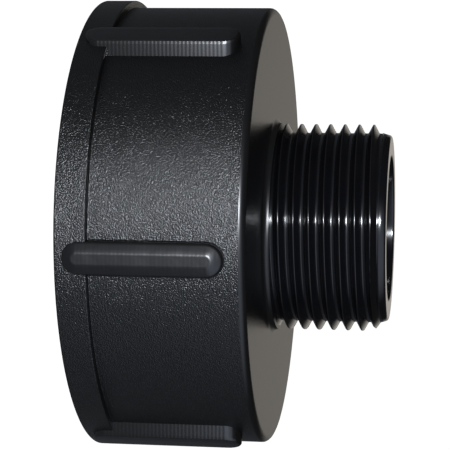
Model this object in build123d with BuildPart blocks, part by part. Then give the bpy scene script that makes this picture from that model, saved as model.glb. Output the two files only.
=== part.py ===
from build123d import *
import math
import os

# Adapter for the outlet valve of a bulk liquid container, in millimetres.
# A socket with a coarse thread screws onto the valve, and a threaded spigot takes a tap or hose fitting.
# The origin is at the centre of the open rim, which stands on Z = 0, and the axis is +Z.

# Socket body
body_height = 27.0
wall_thickness = 4.4
face_edge_radius = 0.7
rim_step = 1.1
rim_width = 4.5
rim_edge_radius = 0.35

# Grip ribs along the outside of the body
rib_count = 6
rib_first_angle = 30
rib_inset = 1.0
rib_face_gap = 2.9
rib_width = 4.9
rib_height = 1.9
rib_crest_flat = 0.7
rib_root_depth = 1.0

# Socket and its coarse buttress thread
web_thickness = 5.0
socket_crest_radius = 28.2
socket_thread_depth = 2.0
socket_pitch = 6.0
socket_crest_width = 2.2
socket_load_angle = 10
socket_entry_angle = 40
mouth_length = 2.4
mouth_clearance = 0.5
mouth_chamfer = 0.6
seat_groove_length = 5.6

# Gasket that lies on the socket floor
gasket_thickness = 3.0
gasket_width = 8.4
gasket_rim_clearance = 0.3

# Spigot with its fine pipe thread
spigot_length = 18.4
spigot_bore_radius = 11.65
spigot_root_radius = 15.05
spigot_crest_radius = 16.45
spigot_pitch = 2.309
spigot_crest_width = 0.36
spigot_flank_angle = 27.5
spigot_thread_rise = 0.57
collar_length = 0.9
collar_clearance = 0.06
lead_length = 1.05
pilot_length = 1.2
pilot_end_radius = 14.7
edge_break = 0.3

# A thread's profile reaches this far into the wall that carries it
thread_overlap = 0.25

# Heights and radii that follow from the sizes above
total_height = body_height + spigot_length
socket_floor = body_height - web_thickness
socket_root_radius = socket_crest_radius + socket_thread_depth
mouth_radius = socket_root_radius + mouth_clearance
body_radius = socket_root_radius + wall_thickness
rim_radius = body_radius + rim_step
seat_groove_start = socket_floor - seat_groove_length
collar_radius = spigot_crest_radius + collar_clearance
pilot_start = total_height - pilot_length
lead_start = pilot_start - lead_length


# Spigot thread, a V ridge wound round the core, which starts inside the web
spigot_thread_start = body_height + spigot_thread_rise - spigot_pitch
spigot_foot_radius = spigot_root_radius - thread_overlap
spigot_crest_half = spigot_crest_width / 2
spigot_flank_run = (spigot_crest_radius - spigot_foot_radius) * math.tan(math.radians(spigot_flank_angle))
spigot_foot_half = spigot_crest_half + spigot_flank_run
spigot_profile_plane = Plane(origin=(0, 0, spigot_thread_start), x_dir=(1, 0, 0), z_dir=(0, -1, 0))

with BuildPart() as spigot_thread:
    with BuildLine():
        spigot_path = Helix(
            pitch=spigot_pitch,
            height=pilot_start + spigot_foot_half - spigot_thread_start,
            radius=spigot_root_radius,
            center=(0, 0, spigot_thread_start),
        )
    with BuildSketch(spigot_profile_plane):
        with BuildLine():
            Polyline(
                (spigot_foot_radius, -spigot_foot_half),
                (spigot_crest_radius, -spigot_crest_half),
                (spigot_crest_radius, spigot_crest_half),
                (spigot_foot_radius, spigot_foot_half),
                close=True,
            )
        make_face()
    sweep(path=spigot_path, is_frenet=True)
    # The lead cone brings the last turn down to the core, and nothing is left beside the pilot
    with BuildSketch(Plane.XZ):
        with BuildLine():
            Polyline(
                (spigot_bore_radius, pilot_start),
                (spigot_root_radius, pilot_start),
                (collar_radius, lead_start),
                (body_radius, lead_start),
                (body_radius, total_height + spigot_pitch),
                (spigot_bore_radius, total_height + spigot_pitch),
                close=True,
            )
        make_face()
    revolve(axis=Axis.Z, mode=Mode.SUBTRACT)


# Socket thread, a buttress ridge wound inside the wall between the mouth and the seat groove
socket_foot_radius = socket_root_radius + thread_overlap
socket_foot_depth = socket_foot_radius - socket_crest_radius
socket_crest_half = socket_crest_width / 2
socket_load_run = socket_foot_depth * math.tan(math.radians(socket_load_angle))
socket_entry_run = socket_foot_depth * math.tan(math.radians(socket_entry_angle))
socket_thread_start = mouth_length + socket_entry_run + socket_crest_half
socket_thread_end = seat_groove_start - socket_load_run - socket_crest_half
socket_profile_plane = Plane(origin=(0, 0, socket_thread_start), x_dir=(1, 0, 0), z_dir=(0, -1, 0))

with BuildPart() as socket_thread:
    with BuildLine():
        socket_path = Helix(
            pitch=socket_pitch,
            height=socket_thread_end - socket_thread_start,
            radius=socket_root_radius,
            center=(0, 0, socket_thread_start),
        )
    with BuildSketch(socket_profile_plane):
        with BuildLine():
            Polyline(
                (socket_foot_radius, -socket_crest_half - socket_entry_run),
                (socket_crest_radius, -socket_crest_half),
                (socket_crest_radius, socket_crest_half),
                (socket_foot_radius, socket_crest_half + socket_load_run),
                close=True,
            )
        make_face()
    sweep(path=socket_path, is_frenet=True)


# One grip rib, a round-topped bar that stands on the body's side
rib_length = body_height - rib_inset - rib_face_gap
rib_crest_radius = (rib_width - rib_crest_flat) / 2
rib_plane = Plane(
    origin=(body_radius - rib_root_depth, 0, rib_inset + rib_length / 2),
    x_dir=(0, 0, 1),
    z_dir=(1, 0, 0),
)

with BuildPart() as grip_rib:
    with BuildSketch(rib_plane):
        SlotOverall(rib_length, rib_width)
    extrude(amount=rib_root_depth + rib_height)
    fillet(grip_rib.faces().sort_by(Axis.X)[-1].edges(), radius=rib_crest_radius)


with BuildPart() as adapter_body:
    # Body, rim band, web and spigot core turned in one piece
    with BuildSketch(Plane.XZ):
        with BuildLine():
            Polyline(
                (mouth_radius, 0),
                (rim_radius, 0),
                (rim_radius, rim_width),
                (body_radius, rim_width),
                (body_radius, body_height),
                (collar_radius, body_height),
                (collar_radius, body_height + collar_length),
                (spigot_root_radius, body_height + collar_length),
                (spigot_root_radius, pilot_start),
                (pilot_end_radius, total_height),
                (spigot_bore_radius, total_height),
                (spigot_bore_radius, socket_floor),
                (socket_root_radius, socket_floor),
                (socket_root_radius, mouth_length),
                (mouth_radius, mouth_length),
                close=True,
            )
        make_face()
    revolve(axis=Axis.Z)

    # Rounded edges of the rim band and of the front face
    rim_circles = adapter_body.edges().filter_by(GeomType.CIRCLE).filter_by(
        lambda edge: abs(edge.radius - rim_radius) < 0.01
    )
    fillet(rim_circles, radius=rim_edge_radius)
    face_circle = adapter_body.edges().filter_by(GeomType.CIRCLE).filter_by(
        lambda edge: abs(edge.radius - body_radius) < 0.01
    ).sort_by(Axis.Z)[-1]
    fillet(face_circle, radius=face_edge_radius)

    # Broken edges at the mouth and at both ends of the bore
    mouth_circle = adapter_body.edges().filter_by(GeomType.CIRCLE).filter_by(
        lambda edge: abs(edge.radius - mouth_radius) < 0.01
    ).sort_by(Axis.Z)[0]
    chamfer(mouth_circle, length=mouth_chamfer)
    end_circles = adapter_body.edges().filter_by(GeomType.CIRCLE).filter_by(
        lambda edge: edge.radius < spigot_root_radius - edge_break / 2
    )
    chamfer(end_circles, length=edge_break)

    # Ribs and threads stand on the walls
    with PolarLocations(0, rib_count, start_angle=rib_first_angle):
        add(grip_rib.part)
    add(spigot_thread.part)
    add(socket_thread.part)


# Gasket, a flat ring that lies against the socket floor
gasket_top = socket_floor
gasket_outer_radius = socket_root_radius - gasket_rim_clearance
gasket_inner_radius = gasket_outer_radius - gasket_width

with BuildPart() as gasket:
    with BuildSketch(Plane.XY.offset(gasket_top - gasket_thickness)):
        Circle(gasket_outer_radius)
        Circle(gasket_inner_radius, mode=Mode.SUBTRACT)
    extrude(amount=gasket_thickness)


adapter_body.part.label = "adapter_body"
gasket.part.label = "gasket"

os.makedirs("parts", exist_ok=True)
export_step(adapter_body.part, "parts/adapter_body.step")
export_step(gasket.part, "parts/gasket.step")
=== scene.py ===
import math

import bmesh
import bpy
from mathutils import Matrix, Vector


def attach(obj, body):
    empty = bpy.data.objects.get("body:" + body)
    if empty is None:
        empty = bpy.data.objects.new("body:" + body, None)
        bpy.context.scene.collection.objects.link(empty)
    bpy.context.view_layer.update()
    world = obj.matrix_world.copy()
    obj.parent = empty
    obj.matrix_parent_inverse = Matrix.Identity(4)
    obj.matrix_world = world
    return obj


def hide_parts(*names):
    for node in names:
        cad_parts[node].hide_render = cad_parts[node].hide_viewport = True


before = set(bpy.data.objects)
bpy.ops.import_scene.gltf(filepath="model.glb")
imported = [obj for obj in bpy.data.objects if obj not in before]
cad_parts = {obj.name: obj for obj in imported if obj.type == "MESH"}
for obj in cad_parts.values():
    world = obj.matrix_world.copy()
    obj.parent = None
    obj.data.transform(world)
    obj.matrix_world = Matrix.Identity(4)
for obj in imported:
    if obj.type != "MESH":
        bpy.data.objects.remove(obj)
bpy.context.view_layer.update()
print("frame loaded:", sorted(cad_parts))

# Lengths are millimetres until a mesh is finished, then metres
zAxis = Vector((0, 0, 1))


def heading(degrees):
    return Vector((math.cos(math.radians(degrees)), math.sin(math.radians(degrees)), 0))


def toLinear(hexColour):
    parts = [int(hexColour[i:i + 2], 16) / 255 for i in (1, 3, 5)]
    return [c / 12.92 if c <= 0.04045 else ((c + 0.055) / 1.055) ** 2.4 for c in parts] + [1.0]


def addNode(tree, kind, settings=None, links=None):
    node = tree.nodes.new(kind)
    for name, value in (settings or {}).items():
        if isinstance(name, int) or name in node.inputs:
            node.inputs[name].default_value = value
        else:
            setattr(node, name, value)
    for name, source in (links or {}).items():
        tree.links.new(source, node.inputs[name])
    return node


def startMaterial(name):
    material = bpy.data.materials.new(name)
    material.use_nodes = True
    tree = material.node_tree
    tree.nodes.clear()
    place = addNode(tree, "ShaderNodeTexCoord").outputs["Object"]
    return material, tree, place


def finishMaterial(tree, place, look, relief):
    # Soft patches mix two close blacks, and the relief raises the surface
    patch = {"Scale": 1000 / look["patch"], "Detail": look["patchDetail"]}
    patches = addNode(tree, "ShaderNodeTexNoise", patch, {"Vector": place}).outputs["Fac"]
    dark, light = toLinear(look["dark"]), toLinear(look["light"])
    tint = addNode(tree, "ShaderNodeMix", {"data_type": "RGBA", 6: dark, 7: light}, {0: patches})
    depth = {"Strength": look["strength"], "Distance": look["depth"] / 1000}
    bump = addNode(tree, "ShaderNodeBump", depth, {"Height": relief})
    shader = addNode(
        tree, "ShaderNodeBsdfPrincipled",
        {"IOR": look["ior"], "Roughness": look["roughness"]},
        {"Base Color": tint.outputs[2], "Normal": bump.outputs[0]},
    )
    addNode(tree, "ShaderNodeOutputMaterial", None, {"Surface": shader.outputs[0]})


# One finish for each way the mould was cut: spark eroded, milled, turned, polished and stoned
# Patterns are measured in millimetres: patch, grain, ripple and wave are widths, cut is the cutter's step

sparkErodedLook = {
    "ior": 1.58, "roughness": 0.3, "dark": "#060606", "light": "#0b0b0b", "patch": 14, "patchDetail": 3.0,
    "grain": 0.185, "grainDetail": 1.0, "depth": 0.1, "strength": 1.0,
}


def sparkEroded():
    # Polypropylene from a spark eroded mould wall: fine pits that glint one by one in a broad soft highlight
    # The real pits are under 0.1 mm, too fine for the picture, so they are drawn about twice as wide
    look = sparkErodedLook
    material, tree, place = startMaterial("sparkErodedPolypropylene")
    pits = {"Scale": 1000 / look["grain"], "Detail": look["grainDetail"]}
    grain = addNode(tree, "ShaderNodeTexNoise", pits, {"Vector": place})
    finishMaterial(tree, place, look, grain.outputs["Fac"])
    return material


def cutterLines(look):
    # The wave texture's settings for lines across Z; at a scale of 1 it repeats 20 times in tau units
    return {
        "wave_type": "BANDS", "bands_direction": "Z", "wave_profile": "SIN",
        "Scale": math.tau * 1000 / (20 * look["cut"]), "Distortion": look["bend"], "Detail": look["cutDetail"],
    }


milledLook = {
    "ior": 1.68, "roughness": 0.27, "dark": "#090909", "light": "#101010", "patch": 6, "patchDetail": 3.0,
    "cut": 0.58, "bend": 0.5, "cutDetail": 1.0, "depth": 0.008, "strength": 1.0,
}


def milledFlank():
    # The side ribs' flanks were milled across, which leaves fine lines that catch the lamp
    look = milledLook
    material, tree, place = startMaterial("milledPolypropylene")
    cuts = addNode(tree, "ShaderNodeTexWave", cutterLines(look), {"Vector": place})
    finishMaterial(tree, place, look, cuts.outputs["Fac"])
    return material


turnedLook = {
    "ior": 1.5, "roughness": 0.3, "dark": "#0f0f0f", "light": "#161616", "patch": 18, "patchDetail": 2.0,
    "ripple": 0.9, "rippleDetail": 3.0, "depth": 0.003, "strength": 0.4,
}


def turnedFace():
    # The flat front and the socket come from turned mould faces: smooth satin that greys at a grazing view
    look = turnedLook
    material, tree, place = startMaterial("turnedPolypropylene")
    faint = {"Scale": 1000 / look["ripple"], "Detail": look["rippleDetail"]}
    ripple = addNode(tree, "ShaderNodeTexNoise", faint, {"Vector": place})
    finishMaterial(tree, place, look, ripple.outputs["Fac"])
    return material


polishedLook = {
    "ior": 1.5, "roughness": 0.13, "dark": "#0a0a0c", "light": "#111113", "patch": 7, "patchDetail": 2.0,
    "wave": 2.2, "waveDetail": 2.0, "depth": 0.006, "strength": 0.3,
}


def polishedThread():
    # The spigot's mould was polished: glossy black with narrow highlights along every crest and root
    look = polishedLook
    material, tree, place = startMaterial("polishedPolypropylene")
    broad = {"Scale": 1000 / look["wave"], "Detail": look["waveDetail"]}
    waves = addNode(tree, "ShaderNodeTexNoise", broad, {"Vector": place})
    finishMaterial(tree, place, look, waves.outputs["Fac"])
    return material


stonedLook = {
    "ior": 1.68, "roughness": 0.34, "dark": "#0b0b0c", "light": "#121213", "patch": 3.5, "patchDetail": 2.0,
    "wave": 3.5, "waveDetail": 2.0, "waveShare": 30.0,
    "cut": 0.58, "bend": 0.5, "cutDetail": 2.0, "depth": 0.0025, "strength": 1.0,
}


def stonedCrown():
    # The ribs' tops were stoned smooth by hand: satin, slightly wavy, with a trace of the cutter's lines
    look = stonedLook
    material, tree, place = startMaterial("stonedPolypropylene")
    cuts = addNode(tree, "ShaderNodeTexWave", cutterLines(look), {"Vector": place})
    broad = {"Scale": 1000 / look["wave"], "Detail": look["waveDetail"]}
    waves = addNode(tree, "ShaderNodeTexNoise", broad, {"Vector": place})
    height = addNode(
        tree, "ShaderNodeMath", {"operation": "MULTIPLY_ADD", 1: look["waveShare"]},
        {0: waves.outputs["Fac"], 2: cuts.outputs["Fac"]},
    )
    finishMaterial(tree, place, look, height.outputs[0])
    return material


rubberLook = {
    "ior": 1.52, "roughness": 0.68, "dark": "#1b1b1b", "light": "#262625", "patch": 5, "patchDetail": 4.0,
    "grain": 0.25, "grainDetail": 3.0, "depth": 0.012, "strength": 0.6,
}


def mattRubber():
    # Sheet rubber punched to a ring: dead matt, with a faint powdery mottle
    look = rubberLook
    material, tree, place = startMaterial("punchedSheetRubber")
    powder = {"Scale": 1000 / look["grain"], "Detail": look["grainDetail"]}
    grain = addNode(tree, "ShaderNodeTexNoise", powder, {"Vector": place})
    finishMaterial(tree, place, look, grain.outputs["Fac"])
    return material


finishes = {
    "eroded": sparkEroded(), "milled": milledFlank(), "turned": turnedFace(),
    "polished": polishedThread(), "stoned": stonedCrown(),
}
slotOf = {name: index for index, name in enumerate(finishes)}
print("finishes mixed:", [finish.name for finish in finishes.values()])


# Shapes: each shell of revolution is a profile in the XZ plane, spun about Z

shellRule = {"hold": 0.08, "segments": 5, "weld": 0.0005}


def profileLoop(corners):
    # A closed loop of (radius, height, rounding)
    # A point just past each rounding, at the distance "hold", keeps the shading of the flats flat
    hold = shellRule["hold"]
    points = []
    for here, after in zip(corners, corners[1:] + corners[:1]):
        points.append(here)
        start, end = Vector(here[:2]), Vector(after[:2])
        length = (end - start).length
        if length > here[2] + after[2] + 4 * hold:
            for rounding, distance in ((here[2], here[2] + hold), (after[2], length - after[2] - hold)):
                if rounding:
                    point = start.lerp(end, distance / length)
                    points.append((point.x, point.y, 0))
    bm = bmesh.new()
    verts = [bm.verts.new((radius, 0, height)) for radius, height, rounding in points]
    for first, second in zip(verts, verts[1:] + verts[:1]):
        bm.edges.new((first, second))
    for vert, (radius, height, rounding) in zip(verts, points):
        if rounding:
            bmesh.ops.bevel(
                bm, geom=[vert], offset=rounding, offset_type="OFFSET", segments=shellRule["segments"],
                profile=0.5, affect="VERTICES", material=-1,
            )
    return bm


def closeShell(bm):
    bmesh.ops.remove_doubles(bm, verts=bm.verts[:], dist=shellRule["weld"])
    bmesh.ops.recalc_face_normals(bm, faces=bm.faces[:])
    for face in bm.faces:
        face.smooth = True


def sharpenCorners(bm, degrees):
    for edge in bm.edges:
        edge.smooth = len(edge.link_faces) == 2 and edge.calc_face_angle() < math.radians(degrees)


def giveFinish(bm, name):
    for face in bm.faces:
        face.material_index = slotOf[name]


def spinRound(bm, steps):
    bmesh.ops.spin(
        bm, geom=bm.verts[:] + bm.edges[:], cent=(0, 0, 0), axis=zAxis,
        angle=math.tau, steps=steps, use_merge=True,
    )
    closeShell(bm)


def setReach(vert, reach):
    # Moves a point straight out from or in towards the Z axis
    share = reach / math.hypot(vert.co.x, vert.co.y)
    vert.co.x *= share
    vert.co.y *= share


def toMesh(bm, name):
    bmesh.ops.scale(bm, vec=(0.001, 0.001, 0.001), verts=bm.verts[:])
    mesh = bpy.data.meshes.new(name)
    bm.to_mesh(mesh)
    bm.free()
    return mesh


# The last four entries say where one finish meets the next

body = {
    "height": 27.0, "radius": 34.6, "faceRounding": 1.0,
    "rimRadius": 35.7, "rimWidth": 4.6, "rimRounding": 0.18, "rimCorner": 0.2, "rimFoot": 0.12,
    "mouthRadius": 30.7, "mouthLength": 2.4, "mouthChamfer": 0.6, "mouthEdge": 0.08, "mouthRounding": 0.1,
    "socketRadius": 30.2, "socketFloor": 22.0, "socketEdge": 0.15, "socketCorner": 0.2,
    "spigotCore": 15.0, "boreRadius": 11.65, "boreBreak": 0.3, "boreDraft": 0.15, "boreLead": 4.0,
    "collarRadius": 16.51, "collarTop": 27.9, "collarFoot": 0.75,
    "pilotStart": 44.2, "pilotRamp": 0.15, "pilotRadius": 15.05, "pilotEnd": 14.7, "pilotRounding": 0.3,
    "top": 45.4, "steps": 256, "sharpAngle": 40,
    "wallMiddle": 32.2, "margin": 0.02, "erodedPast": 0.05, "polishedPast": 0.4,
}


def makeShell():
    # Side wall, rim band, front web, collar, core, pilot, bore and socket in one closed profile
    b = body
    deepBore = b["boreRadius"] - b["boreDraft"]
    bm = profileLoop([
        (b["mouthRadius"] + b["mouthChamfer"], 0, b["mouthEdge"]),
        (b["rimRadius"], 0, b["rimCorner"]),
        (b["rimRadius"], b["rimWidth"], b["rimRounding"]),
        (b["radius"], b["rimWidth"], b["rimFoot"]),
        (b["radius"], b["height"], b["faceRounding"]),
        (b["collarRadius"], b["height"], b["collarFoot"]),
        (b["collarRadius"], b["collarTop"], 0),
        (b["spigotCore"], b["collarTop"], 0),
        (b["spigotCore"], b["pilotStart"] - b["pilotRamp"], 0),
        (b["pilotRadius"], b["pilotStart"], 0),
        (b["pilotEnd"], b["top"], b["pilotRounding"]),
        (b["boreRadius"], b["top"], b["boreBreak"]),
        (deepBore, b["top"] - b["boreLead"], 0),
        (deepBore, b["socketFloor"], b["boreBreak"]),
        (b["socketRadius"], b["socketFloor"], b["socketCorner"]),
        (b["socketRadius"], b["mouthLength"], b["socketEdge"]),
        (b["mouthRadius"], b["mouthLength"], b["mouthRounding"]),
        (b["mouthRadius"], b["mouthChamfer"], b["mouthEdge"]),
    ])
    spinRound(bm, b["steps"])
    sharpenCorners(bm, b["sharpAngle"])
    for face in bm.faces:
        centre = face.calc_center_median()
        radius = math.hypot(centre.x, centre.y)
        outside = radius > b["wallMiddle"] and centre.z > b["margin"]
        if outside and centre.z < b["height"] - b["faceRounding"] + b["erodedPast"]:
            face.material_index = slotOf["eroded"]
        elif centre.z > b["collarTop"] + b["margin"] or radius < b["boreRadius"] + b["polishedPast"]:
            face.material_index = slotOf["polished"]
        else:
            face.material_index = slotOf["turned"]
    return bm


# The mould opens in two halves along Y. From the height leanTop down, a side rib's flank leans by leanAngle,
# so that it faces the way its half opens, and the rib stands "gather" degrees nearer to the middle of its half.
# leans gives each rib's leaning side, and farShare narrows the far side of the ribs that lean one way

rib = {
    "count": 6, "firstAngle": 30, "start": 1.0, "length": 23.1, "width": 4.9, "height": 1.9, "rootDepth": 1.0,
    "ends": 48, "flat": 0.66, "ridge": 0.3, "flare": 0.3, "flareSteps": 5, "flareSink": 0.15,
    "slope": 31, "shoulder": 0.7, "sideSlope": 12, "sideShoulder": 0.45,
    "leans": (1, 0, -1, 1, 0, -1), "gather": 1.25, "leanTop": 1.5, "leanAngle": 30,
    "farShare": {1: 0.62, 0: 1.0, -1: 1.0},
    "crownFoot": 0.7, "crownTilt": 0.55, "sideCrownTilt": 0.93, "sharpAngle": 60,
    "reaches": (
        2.446, 2.425, 2.39, 2.34, 2.27, 2.19, 2.1, 2.04,
        1.5, 1.05, 0.95, 0.87, 0.79, 0.72, 0.65, 0.56,
    ),
}


def ribHeight(reach, lean):
    # A narrow flat, a chamfer down from it, and a rounding from the chamfer into the flank
    r = rib
    slope = math.radians(r["sideSlope"] if lean else r["slope"])
    shoulder = r["sideShoulder"] if lean else r["shoulder"]
    edge = r["width"] / 2 - shoulder * (1 - math.sin(slope))
    rise = max(0.0, min(reach, edge) - r["flat"]) * math.tan(slope)
    roof = r["height"] + r["ridge"] - math.hypot(rise, r["ridge"])
    if reach <= edge:
        return roof
    across = reach - (r["width"] / 2 - shoulder)
    return roof - shoulder * math.cos(slope) + math.sqrt(max(0.0, shoulder ** 2 - across ** 2))


def ribRings(lean):
    # (reach, height) of each ring from the foot to the flat
    half, flare = rib["width"] / 2, rib["flare"]
    rings = []
    if not lean:  # an upright flank has a hollow rounding at its foot
        for step in range(rib["flareSteps"] + 1):
            turn = math.pi / 2 * step / rib["flareSteps"]
            reach = half + flare * (1 - math.sin(turn))
            rings.append((reach, flare * (1 - math.cos(turn)) - rib["flareSink"]))
    return rings + [(reach, ribHeight(reach, lean)) for reach in (half,) + rib["reaches"]]


def leanFlank(bm, lean):
    half = rib["width"] / 2
    top = body["radius"] + rib["leanTop"]
    spread = math.tan(math.radians(rib["leanAngle"]))
    for vert in bm.verts:
        if lean * vert.co.y < 0:
            vert.co.y *= rib["farShare"][lean]
        share = min(1.0, max(0.0, lean * vert.co.y / half))
        vert.co.y += lean * share * max(0.0, top - vert.co.x) * spread
    bm.normal_update()


def makeRib(lean):
    # A stadium outline pulled up into an upright flank, then drawn in ring by ring to the crown
    bm = bmesh.new()
    half, run = rib["width"] / 2, (rib["length"] - rib["width"]) / 2
    bmesh.ops.create_circle(bm, cap_ends=True, segments=rib["ends"], radius=half)
    halfStep = Matrix.Rotation(math.pi / rib["ends"], 3, "Z")
    bmesh.ops.rotate(bm, verts=bm.verts[:], cent=(0, 0, 0), matrix=halfStep)
    for vert in bm.verts:
        vert.co.x += run if vert.co.x > 0 else -run
    faces = bm.faces[:]
    for index, (reach, height) in enumerate(ribRings(lean)):
        raised = bmesh.ops.extrude_face_region(bm, geom=faces)
        if index:  # the first face stays as the rib's underside
            bmesh.ops.delete(bm, geom=faces, context="FACES_ONLY")
        faces = [item for item in raised["geom"] if isinstance(item, bmesh.types.BMFace)]
        for vert in [item for item in raised["geom"] if isinstance(item, bmesh.types.BMVert)]:
            middle = Vector((run if vert.co.x > 0 else -run, 0, 0))
            outward = Vector((vert.co.x - middle.x, vert.co.y, 0)).normalized()
            vert.co = middle + outward * reach + zAxis * (rib["rootDepth"] + height)
    closeShell(bm)
    sharpenCorners(bm, rib["sharpAngle"])
    # The bar's length turns to Z and its top faces outwards
    upright = Matrix.Rotation(math.pi / 2, 3, "Y")
    bmesh.ops.rotate(bm, verts=bm.verts[:], cent=(0, 0, 0), matrix=upright)
    place = (body["radius"] - rib["rootDepth"], 0, rib["start"] + rib["length"] / 2)
    bmesh.ops.translate(bm, vec=place, verts=bm.verts[:])
    leanFlank(bm, lean)
    tilt = rib["sideCrownTilt"] if lean else rib["crownTilt"]
    giveFinish(bm, "milled" if lean else "turned")
    for face in bm.faces:
        if face.calc_center_median().x > body["radius"] + rib["crownFoot"] and face.normal.x > tilt:
            face.material_index = slotOf["stoned"]
    return bm


thread = {
    "pitch": 2.309, "crest": 16.45, "root": 15.05, "crestWidth": 0.24, "flankAngle": 28.5, "rise": 0.57,
    "crestRounding": 0.08, "rootRounding": 0.12, "segments": 4, "steps": 192, "bottom": 26.2, "top": 44.95,
    "leadStart": 43.15, "leadEnd": 44.2, "collar": 16.51, "dip": 0.25, "inner": 13.4, "sharpAngle": 50,
    "weld": 0.001, "cutMargin": 0.0001,
}


def makeSpigotThread():
    # A profile with a tooth for each turn is spun once round while it rises by one pitch, so it meets itself
    t = thread
    crestHalf = t["crestWidth"] / 2
    rootHalf = crestHalf + (t["crest"] - t["root"]) * math.tan(math.radians(t["flankAngle"]))
    tooth = (("root", -rootHalf), ("crest", -crestHalf), ("crest", crestHalf), ("root", rootHalf))
    bm = bmesh.new()
    previous = None
    softened = {"crest": [], "root": []}
    for turn in range(-2, int((t["top"] - t["bottom"]) / t["pitch"]) + 3):
        middle = body["height"] + t["rise"] + turn * t["pitch"]
        for kind, offset in tooth:
            vert = bm.verts.new((t[kind], 0, middle + offset))
            softened[kind].append(vert)
            if previous:
                bm.edges.new((previous, vert))
            previous = vert
    for kind, rounding in (("crest", t["crestRounding"]), ("root", t["rootRounding"])):
        bmesh.ops.bevel(
            bm, geom=[vert for vert in softened[kind] if len(vert.link_edges) == 2], offset=rounding,
            offset_type="OFFSET", segments=t["segments"], profile=0.5, affect="VERTICES", material=-1,
        )
    bmesh.ops.spin(
        bm, geom=bm.verts[:] + bm.edges[:], cent=(0, 0, 0), axis=zAxis, dvec=(0, 0, t["pitch"] / t["steps"]),
        angle=math.tau, steps=t["steps"], use_merge=False,
    )
    bmesh.ops.remove_doubles(bm, verts=bm.verts[:], dist=t["weld"])
    for name in ("bottom", "leadStart", "leadEnd", "top"):
        bmesh.ops.bisect_plane(
            bm, geom=bm.verts[:] + bm.edges[:] + bm.faces[:], dist=t["cutMargin"], plane_co=(0, 0, t[name]),
            plane_no=zAxis, clear_inner=name == "bottom", clear_outer=name == "top",
        )
    # The lead cone brings the last turn down to the core, and past it the surface dips under the pilot
    for vert in bm.verts:
        if vert.co.z > t["leadEnd"] + t["weld"]:
            limit = t["root"] - t["dip"]
        else:
            down = max(0.0, (vert.co.z - t["leadStart"]) / (t["leadEnd"] - t["leadStart"]))
            limit = t["collar"] + (t["root"] - t["collar"]) * down
        if math.hypot(vert.co.x, vert.co.y) > limit:
            setReach(vert, limit)
    # Both open ends turn inwards and a hidden inner wall joins them
    openEdges = [edge for edge in bm.edges if len(edge.link_faces) == 1]
    walls = bmesh.ops.extrude_edge_only(bm, edges=openEdges)["geom"]
    for item in walls:
        if isinstance(item, bmesh.types.BMVert):
            setReach(item, t["inner"])
    bmesh.ops.bridge_loops(bm, edges=[item for item in walls if isinstance(item, bmesh.types.BMEdge)])
    closeShell(bm)
    sharpenCorners(bm, t["sharpAngle"])
    giveFinish(bm, "polished")
    return bm


coarse = {
    "pitch": 6.0, "crest": 28.2, "foot": 30.7, "crestWidth": 2.2, "loadAngle": 10, "entryAngle": 40,
    "start": 2.4, "end": 16.4, "rounding": 0.35, "steps": 160, "sharpAngle": 40,
}


def makeSocketThread():
    # A buttress ridge, steep on the side that bears and shallow where the outlet enters
    c = coarse
    depth = c["foot"] - c["crest"]
    load = depth * math.tan(math.radians(c["loadAngle"]))
    entry = depth * math.tan(math.radians(c["entryAngle"]))
    half = c["crestWidth"] / 2
    rise = (c["end"] - load - half) - (c["start"] + entry + half)
    bm = profileLoop([
        (c["foot"], -half - entry, 0),
        (c["crest"], -half, c["rounding"]),
        (c["crest"], half, c["rounding"]),
        (c["foot"], half + load, 0),
    ])
    bmesh.ops.contextual_create(bm, geom=bm.edges[:])
    bmesh.ops.translate(bm, vec=(0, 0, c["start"] + entry + half), verts=bm.verts[:])
    turns = rise / c["pitch"]
    steps = round(turns * c["steps"])
    bmesh.ops.spin(
        bm, geom=bm.verts[:] + bm.edges[:] + bm.faces[:], cent=(0, 0, 0), axis=zAxis,
        dvec=(0, 0, rise / steps), angle=math.tau * turns, steps=steps, use_merge=False,
    )
    closeShell(bm)
    sharpenCorners(bm, c["sharpAngle"])
    giveFinish(bm, "turned")
    return bm


def joinShells(shells, name):
    whole = bmesh.new()
    for shell in shells:
        mesh = toMesh(shell, name)
        whole.from_mesh(mesh)
        bpy.data.meshes.remove(mesh)
    mesh = bpy.data.meshes.new(name)
    whole.to_mesh(mesh)
    whole.free()
    return mesh


shells = [makeShell()]
print("shell spun")
for index, lean in enumerate(rib["leans"]):
    bar = makeRib(lean)
    azimuth = rib["firstAngle"] + index * 360 / rib["count"] + lean * rib["gather"]
    turn = Matrix.Rotation(math.radians(azimuth), 3, "Z")
    bmesh.ops.rotate(bar, verts=bar.verts[:], cent=(0, 0, 0), matrix=turn)
    shells.append(bar)
print("ribs raised:", rib["count"])
shells.append(makeSpigotThread())
shells.append(makeSocketThread())
print("threads wound")

adapter = bpy.data.objects.new("adapterMoulding", joinShells(shells, "adapterMoulding"))
bpy.context.scene.collection.objects.link(adapter)
for finish in finishes.values():
    adapter.data.materials.append(finish)
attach(adapter, "root")
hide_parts("adapter_body")
print("adapter faces:", len(adapter.data.polygons))

seal = {
    "inner": 21.5, "outer": 29.9, "bottom": 19.0, "top": 22.0, "edge": 0.18, "steps": 192, "sharpAngle": 40,
}


def makeSeal():
    s = seal
    bm = profileLoop([
        (s["inner"], s["bottom"], s["edge"]),
        (s["outer"], s["bottom"], s["edge"]),
        (s["outer"], s["top"], s["edge"]),
        (s["inner"], s["top"], s["edge"]),
    ])
    spinRound(bm, s["steps"])
    sharpenCorners(bm, s["sharpAngle"])
    return bm


sealRing = bpy.data.objects.new("sealRing", toMesh(makeSeal(), "sealRing"))
bpy.context.scene.collection.objects.link(sealRing)
sealRing.data.materials.append(mattRubber())
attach(sealRing, "root")
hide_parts("gasket")
print("seal ring cut")

# Floor: pale and plain, and white to the camera; size and drop are metres

floorLook = {"size": 24.0, "drop": 0.00005, "colour": "#a0a0a0", "lift": 0.985}


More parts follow.
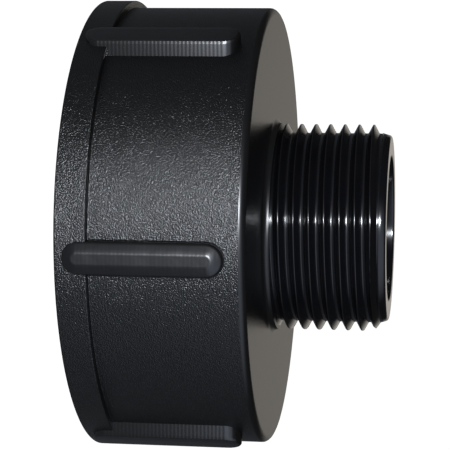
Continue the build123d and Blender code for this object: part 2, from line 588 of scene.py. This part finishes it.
def makeFloor():
    bm = bmesh.new()
    bmesh.ops.create_grid(bm, x_segments=1, y_segments=1, size=floorLook["size"] / 2)
    bmesh.ops.translate(bm, vec=(0, 0, -floorLook["drop"]), verts=bm.verts[:])
    mesh = bpy.data.meshes.new("floor")
    bm.to_mesh(mesh)
    bm.free()
    floor = bpy.data.objects.new("floor", mesh)
    bpy.context.scene.collection.objects.link(floor)

    material = bpy.data.materials.new("paleFloor")
    material.use_nodes = True
    tree = material.node_tree
    tree.nodes.clear()
    rays = addNode(tree, "ShaderNodeLightPath")
    lift = {"operation": "MULTIPLY", 1: floorLook["lift"]}
    seen = addNode(tree, "ShaderNodeMath", lift, {0: rays.outputs["Is Camera Ray"]})
    glow = addNode(tree, "ShaderNodeEmission", {"Color": (1, 1, 1, 1)}, {"Strength": seen.outputs[0]})
    plain = addNode(tree, "ShaderNodeBsdfDiffuse", {"Color": toLinear(floorLook["colour"])})
    both = addNode(tree, "ShaderNodeAddShader", None, {0: plain.outputs[0], 1: glow.outputs[0]})
    addNode(tree, "ShaderNodeOutputMaterial", None, {"Surface": both.outputs[0]})
    floor.data.materials.append(material)


makeFloor()

# Light: one soft lamp close to the camera, in a dim room with a paler far wall and a bluish glow from the side
# that is below in the picture. farSide and glowSide are cosines of the angle to the azimuth: start and full

room = {
    "dim": 0.02, "farWall": 0.53, "farWallTint": "#fff8ee", "farAzimuth": 81.9, "farSide": (0.88, 0.99),
    "farTop": 0.9, "farFull": 0.25,
    "glow": 1.15, "glowTint": "#dfeaff", "glowAzimuth": -66, "glowSide": (0.3, 1.0),
}


def makeRoom():
    world = bpy.data.worlds.new("room")
    bpy.context.scene.world = world
    world.use_nodes = True
    tree = world.node_tree
    tree.nodes.clear()
    way = addNode(tree, "ShaderNodeTexCoord").outputs["Generated"]
    smooth = {"interpolation_type": "SMOOTHSTEP"}

    dot = {"operation": "DOT_PRODUCT", 1: heading(room["farAzimuth"])}
    facing = addNode(tree, "ShaderNodeVectorMath", dot, {0: way}).outputs["Value"]
    side = {**smooth, "From Min": room["farSide"][0], "From Max": room["farSide"][1]}
    across = addNode(tree, "ShaderNodeMapRange", side, {"Value": facing})
    up = addNode(tree, "ShaderNodeSeparateXYZ", None, {"Vector": way}).outputs["Z"]
    fade = {**smooth, "From Min": room["farTop"], "From Max": room["farFull"]}
    above = addNode(tree, "ShaderNodeMapRange", fade, {"Value": up})
    sides = {0: across.outputs[0], 1: above.outputs[0]}
    wall = addNode(tree, "ShaderNodeMath", {"operation": "MULTIPLY"}, sides)
    span = {"To Min": room["dim"], "To Max": room["farWall"]}
    level = addNode(tree, "ShaderNodeMapRange", span, {"Value": wall.outputs[0]})
    tint = {"Color": toLinear(room["farWallTint"])}
    far = addNode(tree, "ShaderNodeBackground", tint, {"Strength": level.outputs[0]})

    dot = {"operation": "DOT_PRODUCT", 1: heading(room["glowAzimuth"])}
    toward = addNode(tree, "ShaderNodeVectorMath", dot, {0: way}).outputs["Value"]
    side = {**smooth, "From Min": room["glowSide"][0], "From Max": room["glowSide"][1]}
    bright = addNode(tree, "ShaderNodeMapRange", {**side, "To Max": room["glow"]}, {"Value": toward})
    tint = {"Color": toLinear(room["glowTint"])}
    near = addNode(tree, "ShaderNodeBackground", tint, {"Strength": bright.outputs[0]})

    lit = addNode(tree, "ShaderNodeAddShader", None, {0: far.outputs[0], 1: near.outputs[0]})
    white = addNode(tree, "ShaderNodeBackground", {"Color": (1, 1, 1, 1), "Strength": 1.0})
    rays = addNode(tree, "ShaderNodeLightPath").outputs["Is Camera Ray"]
    seen = addNode(tree, "ShaderNodeMixShader", None, {0: rays, 1: lit.outputs[0], 2: white.outputs[0]})
    addNode(tree, "ShaderNodeOutputWorld", None, {"Surface": seen.outputs[0]})


keyLamp = {
    "azimuth": -106.0, "height": 8.0, "distance": 0.75, "aim": 0.02,
    "size": 0.07, "power": 5.8, "tint": "#f2f7ff",
}


def makeLamp():
    lamp = bpy.data.lights.new("keyLamp", "AREA")
    lamp.shape = "DISK"
    lamp.size = keyLamp["size"]
    lamp.energy = keyLamp["power"]
    lamp.color = toLinear(keyLamp["tint"])[:3]
    holder = bpy.data.objects.new("keyLamp", lamp)
    height = math.radians(keyLamp["height"])
    away = heading(keyLamp["azimuth"]) * math.cos(height) + zAxis * math.sin(height)
    holder.location = zAxis * keyLamp["aim"] + away * keyLamp["distance"]
    holder.rotation_euler = away.to_track_quat("Z", "Y").to_euler()
    bpy.context.scene.collection.objects.link(holder)


makeRoom()
makeLamp()

# Camera: the photograph's view, with the part on its side, so the picture's right is the part's +Z

shot = {
    "azimuth": -98.1, "distance": 244.49, "height": 57.75,
    "yaw": 6.799, "pitch": -1.767, "roll": 1.082,
    "focalPixels": 1529.9, "centreX": 285.15, "centreY": 273.56, "side": 449,
    "sensor": 36.0, "nearest": 0.01, "furthest": 50.0,
}


def makeCamera():
    back = heading(shot["azimuth"])
    right = zAxis.copy()
    up = back.cross(right)
    place = back * shot["distance"] + right * shot["height"]
    turn = Matrix.Rotation(math.radians(shot["yaw"]), 3, up)
    right, back = turn @ right, turn @ back
    turn = Matrix.Rotation(math.radians(shot["pitch"]), 3, right)
    up, back = turn @ up, turn @ back
    turn = Matrix.Rotation(math.radians(shot["roll"]), 3, back)
    right, up = turn @ right, turn @ up
    pose = Matrix((right, up, back)).transposed().to_4x4()
    pose.translation = place / 1000

    data = bpy.data.cameras.new("camera")
    data.sensor_width = shot["sensor"]
    data.lens = shot["focalPixels"] / shot["side"] * data.sensor_width
    data.shift_x = 0.5 - shot["centreX"] / shot["side"]
    data.shift_y = shot["centreY"] / shot["side"] - 0.5
    data.clip_start, data.clip_end = shot["nearest"], shot["furthest"]
    camera = bpy.data.objects.new("camera", data)
    camera.matrix_world = pose
    bpy.context.scene.collection.objects.link(camera)
    bpy.context.scene.camera = camera


makeCamera()
bpy.context.scene.view_settings.view_transform = "Standard"
print("floor, lamp and camera placed")

bpy.context.view_layer.update()
